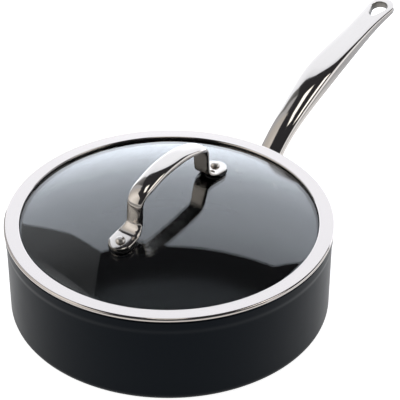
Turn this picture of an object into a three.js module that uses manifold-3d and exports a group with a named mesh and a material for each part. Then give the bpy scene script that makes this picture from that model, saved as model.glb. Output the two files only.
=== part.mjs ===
// Saute pan with a glass lid: a drawn aluminium pan with a riveted cast handle, and a domed glass
// lid in a polished steel ring, with a riveted strap handle.
// Millimetres, +Z up. The origin is the centre of the base's underside; the long handle lies along +X.

import * as THREE from 'three';
import { mergeVertices } from 'three/addons/utils/BufferGeometryUtils.js';
import Module from 'manifold-3d';

const wasm = await Module();
wasm.setup();

// Pan body
const panHeight = 72.5; // from the surface it stands on to the rim
const rimRadius = 122.3; // outside of the band below the rim
const rimBand = 11.5; // height of that band
const bandStep = 0.7; // how far the band stands out from the wall
const stepHeight = 1.5; // height over which the wall swells into the band
const wallThickness = 3.1;
const wallDraft = 0.6; // the wall leans in by this much from band to foot
const floorThickness = 4.0;
const footRadius = 6.0; // outside corner between wall and base
const hollowRadius = 9.0; // inside corner between wall and floor
const rimRound = 1.0; // rounding of the rim's two edges

// Steel plate pressed into the base for induction hobs
const plateRadius = 90;
const plateThickness = 1.5;
const plateProud = 0.4; // it stands this far below the aluminium
const plateFit = 0.2;
const plateEdge = 0.4; // chamfer round its underside

// Long handle: a riveted flange, a neck that climbs past the rim, a broad grip and a flat end with an eye
const flangeHeight = 42; // centre of the flange above the base
const flangeMargin = 4.0; // metal left round the rivets at the flange's ends
const flangeDepth = 28;
const flangeThickness = 4;
const flangeCorner = 12;
const handleReach = 195; // from the wall to the tip, measured level
const neckOut = 17.5; // how far out the neck stands where it passes the rim
const neckRise = 20.3; // and how far it has climbed from the flange
const neckHalfWidth = 10.2;
const neckHalfThickness = 5.4;
const neckFlare = 1.2; // the neck widens by this much each side where it meets the flange
const neckRootThickening = 2.5; // and thickens by this much above and below
const kneeRun = 27.4; // from the neck out to the knee, where the handle levels off
const kneeClimb = 18.5;
const kneeHalfWidth = 11.1;
const kneeHalfThickness = 6.3;
const gripInset = 96.3; // from the end plate's middle back to the widest part of the grip
const gripRise = 56.3; // above the flange's centre
const gripHalfWidth = 12.8;
const gripHalfThickness = 7.5;
const waistInset = 33.2; // from the end plate's middle back to the waist
const waistRise = 68.1;
const waistHalfWidth = 10.2;
const waistHalfThickness = 4.8;
const endRise = 74;
const endHalfWidth = 11.4;
const endHalfThickness = 3.2;
const endEdge = 2.3; // half thickness at the very tip
const eyeInset = 13.2; // from the tip to the middle of the eye's wide end
const eyeRadius = 6.4;
const eyeLength = 10.6; // between the middles of the eye's wide and narrow ends
const eyeNarrowRadius = 3.2;

// Pan handle rivets
const panRivetClearance = 1.5; // between the neck and the rivets' outer heads
const panRivetShank = 3.0;
const panRivetHead = 6.0; // domed head inside the pan
const panRivetHeadHeight = 2.0;
const panRivetTail = 4.6;
const panRivetTailHeight = 1.6;
const rivetEdge = 0.4; // upright edge below a rivet's dome

// Lid ring: a flat polished flange with a rolled outer bead, and a skirt that drops into the pan
const ringOverhang = 0.7; // the bead stands this far outside the pan's rim
const ringFlange = 5.8; // the flange covers this much inside the skirt
const ringSheet = 0.8;
const beadHeight = 3.2;
const skirtDepth = 8.4; // from the ring's top to the skirt's foot
const skirtHem = 3.6; // the skirt's foot turns in this far under the seal
const skirtClearance = 0.6; // between the skirt and the pan's bore
const lidSeat = 0.3; // between the bead and the rim

// Glass and its seal
const glassThickness = 4.0;
const glassDrop = 2.2; // the glass edge's top lies this far below the ring's top
const domeRise = 16.7; // apex above the flat edge
const domeEdge = 4.6; // width of the flat edge outside the dome
const sealWall = 1.4;
const sealLip = 0.6; // the seal shows this far inside the ring
const sealFit = 0.15;

// Lid handle: a strap bent from one bar, with a foot at each end and a rounded crown
const lidRivetSpacing = 118.6;
const footReach = 8.8; // from the rivet to the foot's tip
const footWidth = 18.4;
const footThickness = 2.6;
const footRun = 7.2; // from the rivet inwards to where the foot turns up
const legSpacing = 86; // between the legs' middles
const legWidth = 13.4;
const legThickness = 4.3;
const legLean = 0.9; // each leg leans in by this much as it rises
const bendHeight = 8.4; // height of the bend from foot to leg
const shoulderDrop = 14.6; // from the crown's middle down to the legs' tops
const shoulderReach = 12.6; // from the legs' tops in to the end of the crown
const crownHeight = 49.3; // crown's middle above the ring's top
const crownArch = 3.2; // the crown's ends lie this far below its middle
const crownWidth = 15.6;
const crownThickness = 5.4;

// Stack on each lid rivet
const gasketThickness = 1.0;
const gasketMargin = 0.5; // the gasket shows this far round the foot
const lidRivetShank = 3.0;
const lidRivetHead = 5.2;
const lidRivetHeadHeight = 1.8;
const lidRivetTail = 5.0;
const lidRivetTailHeight = 1.5;
const bushSleeve = 1.3; // sleeve wall in the glass's hole
const bushFlange = 8.0;
const bushFlangeThickness = 1.0;
const washerRadius = 7.2;
const washerThickness = 1.0;

// Clearances and smoothness
const gap = 0.3; // between pieces that are cut by, or rest on, a neighbour
const turnSegments = 48;
const smallSegments = 16;
const sectionSides = 16;

const hardAnodised = new THREE.MeshStandardMaterial({ color: 0x1f2022, roughness: 0.55, metalness: 0.4 });
const polishedSteel = new THREE.MeshStandardMaterial({ color: 0xd9d4cd, roughness: 0.12, metalness: 1 });
const baseSteel = new THREE.MeshStandardMaterial({ color: 0xb4b4b2, roughness: 0.4, metalness: 1 });
const clearGlass = new THREE.MeshStandardMaterial({
  color: 0xdfe8ea, roughness: 0.03, metalness: 0, transparent: true, opacity: 0.35,
});
const blackSilicone = new THREE.MeshStandardMaterial({ color: 0x141414, roughness: 0.6, metalness: 0 });

// Sizes that follow from the ones above
const wallTop = rimRadius - bandStep;
const wallFoot = wallTop - wallDraft;
const boreRadius = rimRadius - wallThickness;
const stepBottom = panHeight - rimBand - stepHeight;
const floorTop = plateProud + floorThickness;
const ringTop = panHeight + lidSeat + beadHeight;
const skirtOuter = boreRadius - skirtClearance;
const skirtInner = skirtOuter - ringSheet;
const ringInner = skirtInner - ringFlange;
const glassRadius = skirtInner - sealFit - sealWall - sealFit;
const domeRadius = glassRadius - domeEdge;
const edgeTop = ringTop - glassDrop;
const sphereRadius = (domeRadius * domeRadius + domeRise * domeRise) / (2 * domeRise);
const sphereCentre = edgeTop + domeRise - sphereRadius;
const lidRivetX = lidRivetSpacing / 2;
const lidTilt = Math.asin(lidRivetX / sphereRadius);
const panRivetOffset = neckHalfWidth + neckFlare + panRivetClearance + panRivetTail;
const flangeWidth = 2 * (panRivetOffset + panRivetTail + flangeMargin);

// Points of an arc in a turned profile; angles in degrees from outwards towards up
function arc(radius, height, round, from, to, steps) {
  const points = [];
  for (let step = 0; step <= steps; step += 1) {
    const angle = THREE.MathUtils.degToRad(from + ((to - from) * step) / steps);
    points.push(new THREE.Vector2(radius + round * Math.cos(angle), height + round * Math.sin(angle)));
  }
  return points;
}

function at(radius, height) {
  return new THREE.Vector2(radius, height);
}

// A shallow domed head from its rim to its crown on the axis; a negative height makes it hang down
function domedHead(radius, seat, height) {
  const rise = Math.abs(height);
  const round = (radius ** 2 + rise ** 2) / (2 * rise);
  const edge = THREE.MathUtils.radToDeg(Math.asin(Math.min(1, radius / round)));
  const points = arc(0, rise - round, round, 90 - edge, 90, 3);
  points[points.length - 1].x = 0;
  return points.map((point) => at(point.x, seat + Math.sign(height) * point.y));
}

// A profile of radius and height turned about the Z axis
function turned(profile, segments = turnSegments) {
  return new THREE.LatheGeometry(profile, segments).rotateX(Math.PI / 2);
}

// A turned ring: the profile closes on itself
function turnedRing(profile, segments = turnSegments) {
  return turned([...profile, profile[0].clone()], segments);
}

function toSolid(geometry) {
  const bare = geometry.clone();
  bare.deleteAttribute('normal');
  bare.deleteAttribute('uv');
  const merged = mergeVertices(bare, 1e-4);
  return new wasm.Manifold(new wasm.Mesh({
    numProp: 3,
    vertProperties: new Float32Array(merged.attributes.position.array),
    triVerts: new Uint32Array(merged.index.array),
  }));
}

function toGeometry(solid) {
  const { vertProperties, triVerts } = solid.getMesh();
  const geometry = new THREE.BufferGeometry();
  geometry.setAttribute('position', new THREE.BufferAttribute(vertProperties, 3));
  geometry.setIndex(new THREE.BufferAttribute(triVerts, 1));
  return geometry;
}

function cut(geometry, ...tools) {
  return toGeometry(tools.reduce((solid, tool) => solid.subtract(toSolid(tool)), toSolid(geometry)));
}

function piece(name, geometry, material) {
  const mesh = new THREE.Mesh(geometry, material);
  mesh.name = name;
  return mesh;
}

function signedPower(value, power) {
  return Math.sign(value) * Math.abs(value) ** power;
}

// A closed solid carried through a row of superellipse sections. Each station lies in the XZ plane and
// has its middle, its heading there, its half width along Y, its half thickness and its squareness.
function loft(stations) {
  const positions = [];
  const triangles = [];
  const place = (station, across, lift) => {
    const { middle, heading } = station;
    positions.push(middle.x - heading.y * lift, across, middle.y + heading.x * lift);
  };
  stations.forEach((station) => {
    for (let side = 0; side < sectionSides; side += 1) {
      const angle = (2 * Math.PI * side) / sectionSides;
      const power = 2 / station.squareness;
      const across = station.halfWidth * signedPower(Math.cos(angle), power);
      const lift = station.halfThickness * signedPower(Math.sin(angle), power);
      place(station, across, lift);
    }
  });
  const last = stations.length - 1;
  const firstMiddle = stations.length * sectionSides;
  place(stations[0], 0, 0);
  place(stations[last], 0, 0);
  for (let side = 0; side < sectionSides; side += 1) {
    const next = (side + 1) % sectionSides;
    triangles.push(firstMiddle, next, side);
    triangles.push(firstMiddle + 1, last * sectionSides + side, last * sectionSides + next);
    for (let ring = 0; ring < last; ring += 1) {
      const here = ring * sectionSides;
      const there = here + sectionSides;
      triangles.push(here + side, here + next, there + next);
      triangles.push(here + side, there + next, there + side);
    }
  }
  const geometry = new THREE.BufferGeometry();
  geometry.setAttribute('position', new THREE.Float32BufferAttribute(positions, 3));
  geometry.setIndex(triangles);
  return geometry;
}

// Radial places of the two pan handle rivets: local Z runs outwards from the pan's axis
function panRivetFrame(side) {
  const frame = new THREE.Group();
  const angle = side * Math.asin(panRivetOffset / wallTop);
  frame.position.z = flangeHeight;
  frame.rotation.set(0, Math.PI / 2, angle, 'ZYX');
  frame.updateMatrix();
  return frame;
}

// Places of the two lid rivets: local Z leaves the dome squarely, local X runs down its slope at the rear
function lidRivetFrame(side) {
  const frame = new THREE.Group();
  const height = sphereCentre + Math.sqrt(sphereRadius ** 2 - lidRivetX ** 2);
  frame.position.set(side * lidRivetX, 0, height);
  frame.rotation.y = side * lidTilt;
  frame.updateMatrix();
  return frame;
}

function wallAt(height) {
  const share = (height - plateProud) / (stepBottom - plateProud);
  return wallFoot + (wallTop - wallFoot) * share;
}

function panBody() {
  const innerFoot = wallFoot - wallThickness;
  const recessRadius = plateRadius + plateFit;
  const recessTop = plateThickness + plateFit;
  const profile = [
    at(0, recessTop),
    at(recessRadius, recessTop),
    at(recessRadius, plateProud),
    ...arc(wallFoot - footRadius, plateProud + footRadius, footRadius, -90, 0, 4),
    at(wallTop, stepBottom),
    at(rimRadius, stepBottom + stepHeight),
    ...arc(rimRadius - rimRound, panHeight - rimRound, rimRound, 0, 90, 2),
    ...arc(boreRadius + rimRound, panHeight - rimRound, rimRound, 90, 180, 2),
    at(boreRadius, stepBottom + stepHeight),
    at(wallTop - wallThickness, stepBottom),
    ...arc(innerFoot - hollowRadius, floorTop + hollowRadius, hollowRadius, 0, -90, 4),
    at(0, floorTop),
  ];
  const holes = [-1, 1].map((side) => panRivetHole(side));
  return cut(turned(profile), ...holes);
}

function panRivetHole(side) {
  const length = 4 * (wallThickness + flangeThickness);
  const hole = new THREE.CylinderGeometry(panRivetShank + gap, panRivetShank + gap, length, smallSegments);
  hole.rotateX(Math.PI / 2).translate(0, 0, wallAt(flangeHeight));
  return hole.applyMatrix4(panRivetFrame(side).matrix);
}

function basePlate() {
  return turned([
    at(0, 0),
    at(plateRadius - plateEdge, 0),
    at(plateRadius, plateEdge),
    at(plateRadius, plateThickness),
    at(0, plateThickness),
  ]);
}

// The handle's course, from inside the flange out to the tip, as out and up from the flange's centre
function panHandleStations() {
  const endOut = handleReach - endHalfWidth;
  const root = at(-flangeThickness, -neckHalfThickness / 2);
  const course = new THREE.SplineCurve([
    root,
    at(neckOut, neckRise),
    at(neckOut + kneeRun, neckRise + kneeClimb),
    at(endOut - gripInset, gripRise),
    at(endOut - waistInset, waistRise),
    at(endOut, endRise),
  ]);
  const breadth = new THREE.SplineCurve([
    at(neckHalfWidth + neckFlare, neckHalfThickness + neckRootThickening),
    at(neckHalfWidth, neckHalfThickness),
    at(kneeHalfWidth, kneeHalfThickness),
    at(gripHalfWidth, gripHalfThickness),
    at(waistHalfWidth, waistHalfThickness),
    at(endHalfWidth, endHalfThickness),
  ]);
  const roundSquareness = 2.3;
  const endSquareness = 4.5;
  const steps = 24;
  const stations = [];
  for (let step = 0; step <= steps; step += 1) {
    const share = step / steps;
    const middle = course.getPoint(share);
    const size = breadth.getPoint(share);
    stations.push({
      middle: at(wallTop + middle.x, flangeHeight + middle.y),
      heading: course.getTangent(share),
      halfWidth: size.x,
      halfThickness: size.y,
      squareness: THREE.MathUtils.lerp(roundSquareness, endSquareness, share ** 3),
    });
  }
  return [...stations, ...roundedEnd(stations[steps], endHalfWidth, endEdge)];
}

// Stations past a last one, narrowing to a round tip
function roundedEnd(lastStation, reach, edge) {
  const angles = [25, 47, 66, 80, 88];
  return angles.map((degrees) => {
    const angle = THREE.MathUtils.degToRad(degrees);
    return {
      ...lastStation,
      middle: lastStation.middle.clone().addScaledVector(lastStation.heading, reach * Math.sin(angle)),
      halfWidth: lastStation.halfWidth * Math.cos(angle),
      halfThickness: THREE.MathUtils.lerp(edge, lastStation.halfThickness, Math.cos(angle)),
    };
  });
}

function panHandle() {
  const stations = panHandleStations();
  const flange = toSolid(flangeBlock()).intersect(toSolid(flangeShell()));
  const envelope = turned([
    at(0, 0),
    at(wallAt(0) + gap, 0),
    at(wallAt(stepBottom) + gap, stepBottom),
    at(0, stepBottom),
  ]);
  const bar = toSolid(loft(stations)).subtract(toSolid(envelope));
  const joined = bar.add(flange);
  const holes = [-1, 1].map((side) => toSolid(panRivetHole(side)));
  const drilled = holes.reduce((solid, hole) => solid.subtract(hole), joined);
  return toGeometry(drilled.subtract(toSolid(eyeCutter(stations))));
}

// The flange's outline, run outwards along X
function flangeBlock() {
  const halfWidth = flangeWidth / 2;
  const halfDepth = flangeDepth / 2;
  const corner = Math.min(flangeCorner, halfWidth, halfDepth);
  const outline = new THREE.Shape();
  outline.absarc(halfWidth - corner, halfDepth - corner, corner, 0, Math.PI / 2);
  outline.absarc(corner - halfWidth, halfDepth - corner, corner, Math.PI / 2, Math.PI);
  outline.absarc(corner - halfWidth, corner - halfDepth, corner, Math.PI, 1.5 * Math.PI);
  outline.absarc(halfWidth - corner, corner - halfDepth, corner, 1.5 * Math.PI, 2 * Math.PI);
  const block = new THREE.ExtrudeGeometry(outline, {
    depth: wallTop, bevelEnabled: false, curveSegments: 5, steps: 1,
  });
  const outwards = new THREE.Matrix4().makeBasis(
    new THREE.Vector3(0, 1, 0),
    new THREE.Vector3(0, 0, 1),
    new THREE.Vector3(1, 0, 0),
  );
  return block.applyMatrix4(outwards).translate(wallTop / 2, 0, flangeHeight);
}

// The layer against the wall that the flange is cut from
function flangeShell() {
  const low = flangeHeight - flangeDepth;
  const high = flangeHeight + flangeDepth;
  return turnedRing([
    at(wallAt(low) + gap, low),
    at(wallAt(low) + gap + flangeThickness, low),
    at(wallAt(high) + gap + flangeThickness, high),
    at(wallAt(high) + gap, high),
  ]);
}

// A teardrop through the end plate, square to it
function eyeCutter(stations) {
  const { middle: tip, heading } = stations[stations.length - 1];
  const slope = Math.asin((eyeRadius - eyeNarrowRadius) / eyeLength);
  const quarter = Math.PI / 2;
  const outline = new THREE.Shape();
  outline.absarc(0, 0, eyeRadius, -quarter - slope, quarter + slope);
  outline.absarc(-eyeLength, 0, eyeNarrowRadius, quarter + slope, 3 * quarter - slope);
  const depth = 8 * endHalfThickness;
  const cutter = new THREE.ExtrudeGeometry(outline, { depth, bevelEnabled: false, curveSegments: 12 });
  const middle = tip.clone().addScaledVector(heading, -eyeInset);
  cutter.translate(0, 0, -depth / 2).rotateY(-Math.atan2(heading.y, heading.x));
  return cutter.translate(middle.x, 0, middle.y);
}

// A rivet with a domed head at its low end, whose seat is flat against the pan's round wall
function panRivet() {
  const inside = (wallAt(flangeHeight - panRivetHead) - wallThickness) * Math.cos(Math.PI / turnSegments);
  const seat = Math.sqrt(inside ** 2 - panRivetHead ** 2) - gap;
  const tailSeat = wallAt(flangeHeight + panRivetTail) + gap + flangeThickness + gap;
  return turned([
    ...domedHead(panRivetHead, seat - rivetEdge, rivetEdge - panRivetHeadHeight).reverse(),
    at(panRivetHead, seat),
    at(panRivetShank, seat),
    at(panRivetShank, tailSeat),
    at(panRivetTail, tailSeat),
    ...domedHead(panRivetTail, tailSeat + rivetEdge, panRivetTailHeight - rivetEdge),
  ], smallSegments);
}

function lidRing() {
  const ringOuter = rimRadius + ringOverhang;
  const beadRound = beadHeight / 2;
  const skirtFoot = ringTop - skirtDepth;
  return turnedRing([
    at(ringInner, ringTop - ringSheet),
    at(skirtInner, ringTop - ringSheet),
    at(skirtInner, skirtFoot + ringSheet),
    at(skirtInner - skirtHem, skirtFoot + ringSheet),
    at(skirtInner - skirtHem, skirtFoot),
    at(skirtOuter, skirtFoot),
    at(skirtOuter, ringTop - beadHeight),
    ...arc(ringOuter - beadRound, ringTop - beadRound, beadRound, -90, 90, 6),
    at(ringInner, ringTop),
  ]);
}

function lidSeal() {
  const outer = skirtInner - sealFit;
  const inner = outer - sealWall;
  const top = ringTop - ringSheet - sealFit;
  const bottom = ringTop - skirtDepth + ringSheet + sealFit;
  const edgeBottom = edgeTop - glassThickness;
  return turnedRing([
    at(outer, bottom),
    at(outer, top),
    at(ringInner - sealLip, top),
    at(ringInner - sealLip, edgeTop + sealFit),
    at(inner, edgeTop + sealFit),
    at(inner, edgeBottom - sealFit),
    at(skirtInner - skirtHem, edgeBottom - sealFit),
    at(skirtInner - skirtHem, bottom),
  ]);
}

function lidGlass() {
  const edgeBottom = edgeTop - glassThickness;
  const innerSphere = sphereRadius - glassThickness;
  const innerEdge = Math.acos(Math.min(1, (edgeBottom - sphereCentre) / innerSphere));
  const outerEdge = Math.asin(domeRadius / sphereRadius);
  const degrees = THREE.MathUtils.radToDeg;
  const steps = 7;
  const under = arc(0, sphereCentre, innerSphere, 90, 90 - degrees(innerEdge), steps);
  const over = arc(0, sphereCentre, sphereRadius, 90 - degrees(outerEdge), 90, steps);
  under[0].x = 0;
  over[steps].x = 0;
  const profile = [...under, at(glassRadius, edgeBottom), at(glassRadius, edgeTop), ...over];
  const holeRadius = lidRivetShank + gap + bushSleeve + gap;
  const holes = [-1, 1].map((side) => {
    const hole = new THREE.CylinderGeometry(holeRadius, holeRadius, 4 * glassThickness, smallSegments);
    return hole.rotateX(Math.PI / 2).applyMatrix4(lidRivetFrame(side).matrix);
  });
  return cut(turned(profile), ...holes);
}

// Half of the lid handle, from the rear foot's tip up to the crown's middle, as spans between sections
function lidHandleSpans() {
  const lift = gap + gasketThickness + gap + footThickness / 2;
  const rear = lidRivetFrame(1);
  const onFoot = (out) => {
    const point = new THREE.Vector3(out, 0, lift).applyMatrix4(rear.matrix);
    return at(point.x, point.z);
  };
  const inwards = at(-Math.cos(lidTilt), Math.sin(lidTilt));
  const footRound = footWidth / 2;
  const roundEnd = onFoot(footReach - footRound);
  const footEnd = onFoot(-footRun);
  const legFoot = at(legSpacing / 2, footEnd.y + bendHeight);
  const legTop = at(legSpacing / 2 - legLean, ringTop + crownHeight - shoulderDrop);
  const shoulder = at(legTop.x - shoulderReach, ringTop + crownHeight - crownArch);
  const crown = at(0, ringTop + crownHeight);
  const upwards = legTop.clone().sub(legFoot).normalize();
  const arching = at(-Math.cos(0.2), Math.sin(0.2));
  const foot = { halfWidth: footRound, halfThickness: footThickness / 2, squareness: 5 };
  const leg = { halfWidth: legWidth / 2, halfThickness: legThickness / 2, squareness: 3.2 };
  const bar = { halfWidth: crownWidth / 2, halfThickness: crownThickness / 2, squareness: 3 };
  const bend = (from, fromHeading, to, toHeading) => {
    const pull = from.distanceTo(to) * 0.4;
    return new THREE.CubicBezierCurve(
      from,
      from.clone().addScaledVector(fromHeading, pull),
      to.clone().addScaledVector(toHeading, -pull),
      to,
    );
  };
  return [
    { curve: new THREE.LineCurve(roundEnd, footEnd), from: foot, to: foot, steps: 2 },
    { curve: bend(footEnd, inwards, legFoot, upwards), from: foot, to: leg, steps: 6 },
    { curve: new THREE.LineCurve(legFoot, legTop), from: leg, to: leg, steps: 2 },
    { curve: bend(legTop, upwards, shoulder, arching), from: leg, to: bar, steps: 7 },
    { curve: bend(shoulder, arching, crown, at(-1, 0)), from: bar, to: bar, steps: 4 },
  ];
}

function lidHandle() {
  const half = [];
  lidHandleSpans().forEach(({ curve, from, to, steps }, index) => {
    for (let step = index === 0 ? 0 : 1; step <= steps; step += 1) {
      const share = step / steps;
      const eased = THREE.MathUtils.smoothstep(share, 0, 1);
      half.push({
        middle: curve.getPoint(share),
        heading: curve.getTangent(share),
        halfWidth: THREE.MathUtils.lerp(from.halfWidth, to.halfWidth, eased),
        halfThickness: THREE.MathUtils.lerp(from.halfThickness, to.halfThickness, eased),
        squareness: THREE.MathUtils.lerp(from.squareness, to.squareness, eased),
      });
    }
  });
  const turnedBack = { ...half[0], heading: half[0].heading.clone().negate() };
  const tip = roundedEnd(turnedBack, footWidth / 2, footThickness / 2).map((station) => ({
    ...station,
    heading: half[0].heading,
  }));
  const rearHalf = [...tip.reverse(), ...half];
  const frontHalf = rearHalf.slice(0, -1).reverse().map((station) => ({
    ...station,
    middle: at(-station.middle.x, station.middle.y),
    heading: at(station.heading.x, -station.heading.y),
  }));
  const holes = [-1, 1].map((side) => {
    const radius = lidRivetShank + gap;
    const hole = new THREE.CylinderGeometry(radius, radius, 6 * footThickness, smallSegments);
    return hole.rotateX(Math.PI / 2).applyMatrix4(lidRivetFrame(side).matrix);
  });
  return cut(loft([...rearHalf, ...frontHalf]), ...holes);
}

// A flat pad of the foot's outline; local X points to the foot's tip
function footGasket() {
  const round = footWidth / 2 + gasketMargin;
  const roundMiddle = footReach + gasketMargin - round;
  const outline = new THREE.Shape();
  outline.absarc(roundMiddle, 0, round, -Math.PI / 2, Math.PI / 2);
  outline.lineTo(-footRun, round);
  outline.lineTo(-footRun, -round);
  const hole = new THREE.Path();
  hole.absarc(0, 0, lidRivetShank + gap, 0, 2 * Math.PI, true);
  outline.holes.push(hole);
  const pad = new THREE.ExtrudeGeometry(outline, {
    depth: gasketThickness, bevelEnabled: false, curveSegments: 12,
  });
  return pad.translate(0, 0, gap);
}

function lidRivet() {
  const headSeat = gap + gasketThickness + gap + footThickness + gap;
  const tailSeat = -glassThickness - gap - bushFlangeThickness - gap - washerThickness - gap;
  return turned([
    ...domedHead(lidRivetTail, tailSeat - rivetEdge, rivetEdge - lidRivetTailHeight).reverse(),
    at(lidRivetTail, tailSeat),
    at(lidRivetShank, tailSeat),
    at(lidRivetShank, headSeat),
    at(lidRivetHead, headSeat),
    ...domedHead(lidRivetHead, headSeat + rivetEdge, lidRivetHeadHeight - rivetEdge),
  ], smallSegments);
}

// A silicone top hat: its sleeve lines the glass's hole, its flange lies under the glass
function holeBush() {
  const bore = lidRivetShank + gap;
  const flangeTop = -glassThickness - gap;
  return turnedRing([
    at(bore, flangeTop - bushFlangeThickness),
    at(bushFlange, flangeTop - bushFlangeThickness),
    at(bushFlange, flangeTop),
    at(bore + bushSleeve, flangeTop),
    at(bore + bushSleeve, 0),
    at(bore, 0),
  ], smallSegments);
}

function washer() {
  const top = -glassThickness - gap - bushFlangeThickness - gap;
  const bore = lidRivetShank + gap;
  return turnedRing([
    at(bore, top - washerThickness),
    at(washerRadius, top - washerThickness),
    at(washerRadius, top),
    at(bore, top),
  ], smallSegments);
}

function buildPan() {
  const pan = new THREE.Group();
  pan.add(piece('pan_body', panBody(), hardAnodised));
  pan.add(piece('induction_base_plate', basePlate(), baseSteel));
  pan.add(piece('pan_handle', panHandle(), polishedSteel));
  for (const [name, side] of [['left', 1], ['right', -1]]) {
    const frame = panRivetFrame(side);
    frame.add(piece(`pan_handle_rivet_${name}`, panRivet(), polishedSteel));
    pan.add(frame);
  }
  return pan;
}

function buildLid() {
  const lid = new THREE.Group();
  lid.add(piece('lid_glass', lidGlass(), clearGlass));
  lid.add(piece('lid_rim', lidRing(), polishedSteel));
  lid.add(piece('lid_rim_seal', lidSeal(), blackSilicone));
  lid.add(piece('lid_handle', lidHandle(), polishedSteel));
  for (const [name, side] of [['front', -1], ['rear', 1]]) {
    const frame = lidRivetFrame(side);
    const gasket = piece(`lid_foot_gasket_${name}`, footGasket(), blackSilicone);
    gasket.rotation.z = side > 0 ? 0 : Math.PI;
    frame.add(gasket);
    frame.add(piece(`lid_handle_rivet_${name}`, lidRivet(), polishedSteel));
    frame.add(piece(`lid_hole_bush_${name}`, holeBush(), blackSilicone));
    frame.add(piece(`lid_washer_${name}`, washer(), polishedSteel));
    lid.add(frame);
  }
  return lid;
}

const sautePan = new THREE.Group();
sautePan.add(buildPan(), buildLid());

export default sautePan;
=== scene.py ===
import bmesh
import bpy
import numpy as np
from mathutils import Matrix, Vector


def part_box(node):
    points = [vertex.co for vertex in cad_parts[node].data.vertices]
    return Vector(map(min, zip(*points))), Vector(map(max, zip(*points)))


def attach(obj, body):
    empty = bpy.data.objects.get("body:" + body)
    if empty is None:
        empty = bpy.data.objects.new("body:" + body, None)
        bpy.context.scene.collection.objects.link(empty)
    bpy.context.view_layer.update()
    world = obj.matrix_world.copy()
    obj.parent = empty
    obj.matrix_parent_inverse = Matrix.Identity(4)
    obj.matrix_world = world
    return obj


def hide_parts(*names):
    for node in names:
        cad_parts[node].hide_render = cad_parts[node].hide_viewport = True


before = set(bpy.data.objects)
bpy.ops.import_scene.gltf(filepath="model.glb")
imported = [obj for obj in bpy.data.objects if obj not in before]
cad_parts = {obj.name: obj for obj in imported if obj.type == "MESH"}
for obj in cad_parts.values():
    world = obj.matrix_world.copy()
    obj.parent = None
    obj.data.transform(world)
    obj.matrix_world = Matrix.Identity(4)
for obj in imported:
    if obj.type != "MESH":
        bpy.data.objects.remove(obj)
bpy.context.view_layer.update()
mm = 0.001  # pieces are worked out in mm, Blender is in metres
weld = 2e-6  # metres; points closer together than this become one
print("frame loaded:", len(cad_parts), "nodes")


# Colours and nodes

def tone(hexCode):  # sRGB hex to linear red, green, blue and alpha
    parts = np.array([int(hexCode[place:place + 2], 16) for place in (1, 3, 5)]) / 255
    linear = np.where(parts <= 0.04045, parts / 12.92, ((parts + 0.055) / 1.055) ** 2.4)
    return (*linear.tolist(), 1.0)


def addNode(tree, kind, values=None, links=None, **settings):  # one node, its settings, values and links
    node = tree.nodes.new(kind)
    for name, value in settings.items():
        setattr(node, name, value)
    for socket, value in (values or {}).items():
        node.inputs[socket].default_value = value
    for socket, source in (links or {}).items():
        tree.links.new(source, node.inputs[socket])
    return node


def emptyMaterial(name):  # a material with no nodes yet, and its tree
    material = bpy.data.materials.new(name)
    material.use_nodes = True
    material.node_tree.nodes.clear()
    return material, material.node_tree


def startMaterial(name, values):  # a Principled surface with its plain values, and its Object coordinates
    material, tree = emptyMaterial(name)
    shader = addNode(tree, "ShaderNodeBsdfPrincipled", values)
    addNode(tree, "ShaderNodeOutputMaterial", links={"Surface": shader.outputs["BSDF"]})
    place = addNode(tree, "ShaderNodeTexCoord").outputs["Object"]
    return material, tree, shader, place


def perMetre(size):  # texture scale for a pattern whose grains are size mm across
    return 1 / (size * mm)


def noise(tree, place, size, detail=2.0):  # cloudy pattern with grains of a size in mm
    values = {"Scale": perMetre(size), "Detail": detail}
    return addNode(tree, "ShaderNodeTexNoise", values, {"Vector": place})


# Surfaces

# Stations round a half-round end, by angle from its root and closer together towards its tip
roundEnd = np.radians([12, 24, 36, 47, 57, 66, 74, 81, 86, 89])


def nodeBox(node):  # a frame node's lowest and highest corner in mm
    return [np.array(corner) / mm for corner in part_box(node)]


def signedPower(value, power):  # the size of a value to a power, its sign kept
    return np.sign(value) * np.abs(value) ** power


def ease(share):  # from 0 to 1 with level ends: 3 s squared less 2 s cubed
    return share * share * (3 - 2 * share)


def between(start, end, share):  # straight from start to end by a share of the way
    return start + (end - start) * share


# Quads between neighbours of a grid with rows x columns points, closed round either way if asked
def gridFaces(rows, columns, closeRows, closeColumns):
    down, across = np.meshgrid(np.arange(rows if closeRows else rows - 1),
                               np.arange(columns if closeColumns else columns - 1), indexing="ij")
    nextDown = (down + 1) % rows
    nextAcross = (across + 1) % columns
    quads = [down * columns + across, nextDown * columns + across,
             nextDown * columns + nextAcross, down * columns + nextAcross]
    return np.stack(quads, axis=-1).reshape(-1, 4)


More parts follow.
